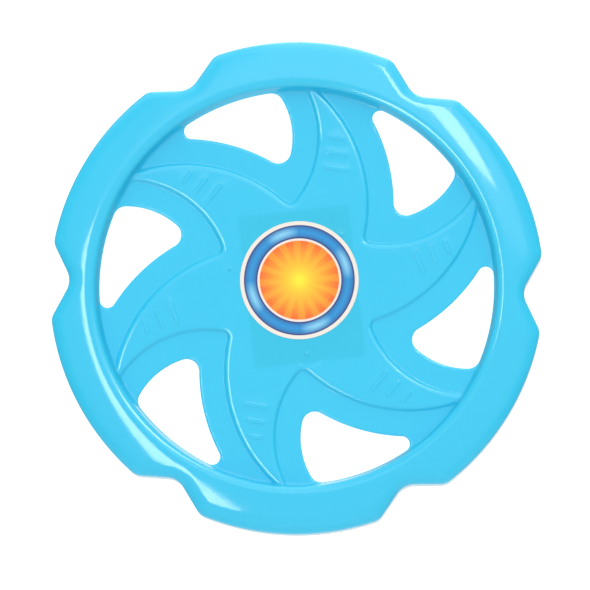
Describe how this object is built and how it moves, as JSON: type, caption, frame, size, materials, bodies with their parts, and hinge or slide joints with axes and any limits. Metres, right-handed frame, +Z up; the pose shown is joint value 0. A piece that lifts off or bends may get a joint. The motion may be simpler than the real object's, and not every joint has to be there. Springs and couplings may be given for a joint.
{
  "type": "flying disc",
  "caption": "Shallow round throwing disc with a raised rounded rim, scalloped grip notches, and curved windows between the blades of a raised star.",
  "frame": {"origin": "on the disc's axis, at the rest edge of the rim", "axes": "+Z up along the disc's axis, towards the face with the printed label; +X through the middle of a grip notch"},
  "size_m": [0.2464, 0.25, 0.022],
  "materials": {
    "disc_plastic": "glossy, slightly translucent injection-moulded polyethylene",
    "printed_label": "satin printed film label",
    "back_paper": "matt coated paper label"
  },
  "bodies": {
    "root": {"disc_body": "disc_plastic", "front_label": "printed_label", "back_label": "back_paper"}
  },
  "joints": []
}
